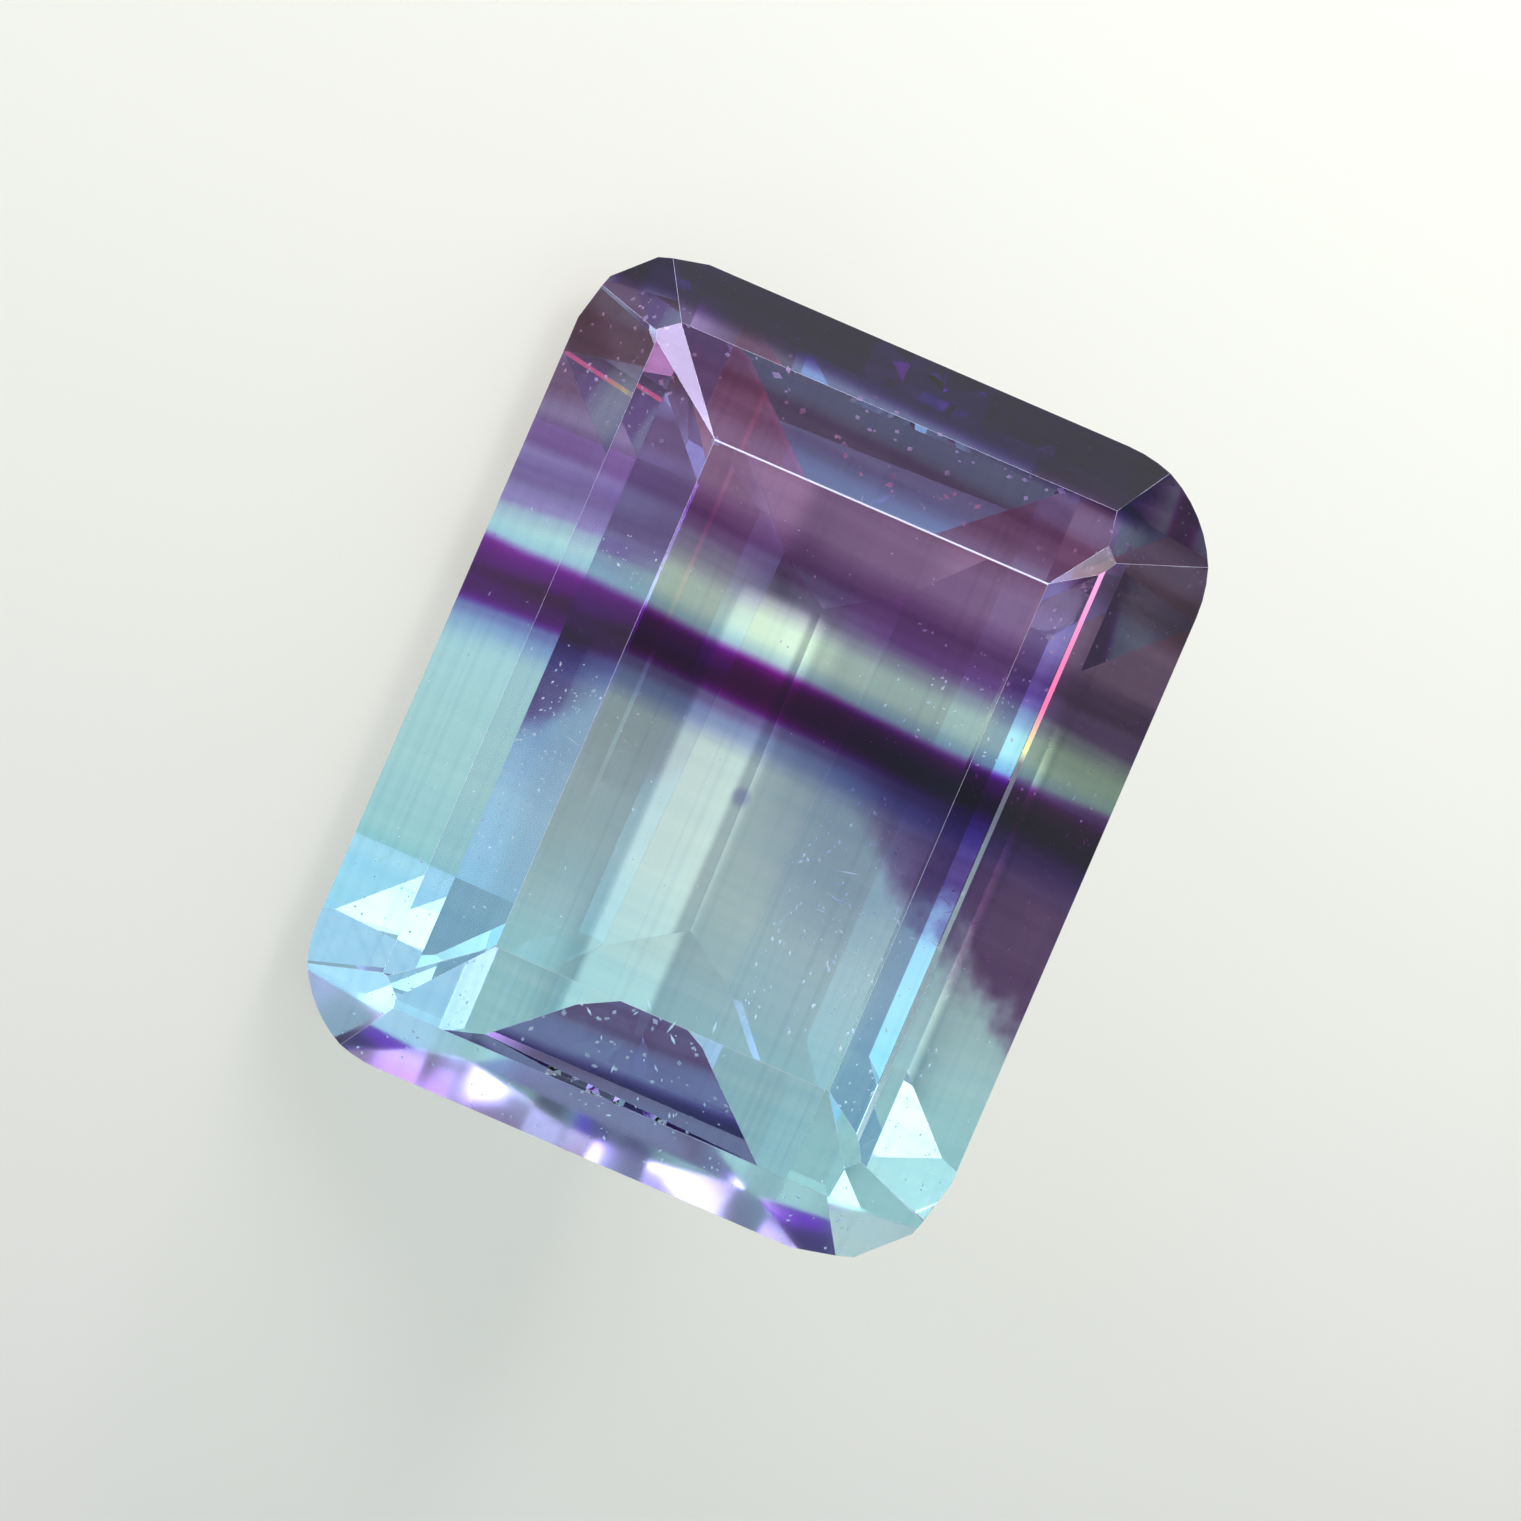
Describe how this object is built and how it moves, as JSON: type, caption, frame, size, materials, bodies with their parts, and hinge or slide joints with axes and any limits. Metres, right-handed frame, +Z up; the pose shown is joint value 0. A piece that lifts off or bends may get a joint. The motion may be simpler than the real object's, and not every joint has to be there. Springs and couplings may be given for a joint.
{
  "type": "faceted banded gemstone",
  "caption": "Loose rectangular step-cut gemstone with rounded corners, transparent, in violet, mint and teal colour bands across its length, lying on a pavilion facet.",
  "frame": {"origin": "on the surface the stone lies on, under the middle of its bounding box", "axes": "+X along the stone's length, from its violet end to its blue end, +Z up; the table faces up and towards -Y"},
  "size_m": [0.01, 0.006, 0.0059],
  "materials": {
    "crystal": "polished transparent crystal, colour-banded violet, mint and teal along its length"
  },
  "bodies": {
    "root": {"banded_gemstone": "crystal"}
  },
  "joints": []
}
